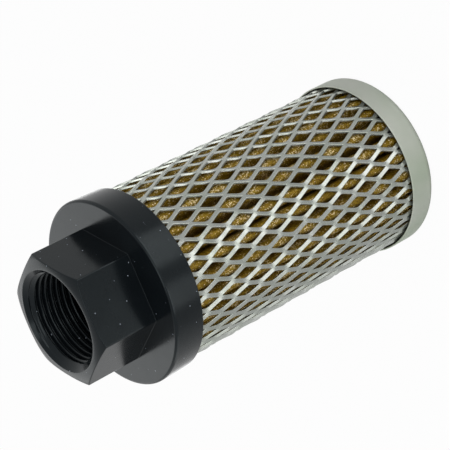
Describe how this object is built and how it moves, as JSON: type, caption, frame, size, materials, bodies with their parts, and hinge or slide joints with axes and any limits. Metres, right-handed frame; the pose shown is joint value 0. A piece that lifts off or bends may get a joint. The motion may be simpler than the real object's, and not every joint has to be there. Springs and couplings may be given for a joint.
{
  "type": "fuel tank strainer",
  "caption": "Screw-in suction strainer: black hexagon head with a female pipe thread, pleated wire gauze inside an expanded metal guard tube, and a drawn steel end cap.",
  "frame": {"origin": "centre of the end cap's flat base, on the axis", "axes": "+Z along the axis from the end cap to the thread mouth; two flats of the hexagon face +Y and -Y"},
  "size_m": [0.0647, 0.0646, 0.1418],
  "materials": {
    "head_plastic": "moulded glass-filled nylon, semi-gloss black",
    "guard_steel": "zinc-plated expanded steel",
    "gauze_wire": "fine woven wire cloth, dull gold brown",
    "tube_steel": "plain zinc-plated steel",
    "cap_steel": "satin zinc-plated drawn steel",
    "adhesive": "cured potting resin, dark"
  },
  "bodies": {
    "root": {"head": "head_plastic", "guard": "guard_steel", "pleated_gauze": "gauze_wire", "centre_tube": "tube_steel", "end_cap": "cap_steel", "cap_adhesive": "adhesive", "head_adhesive": "adhesive"}
  },
  "joints": []
}
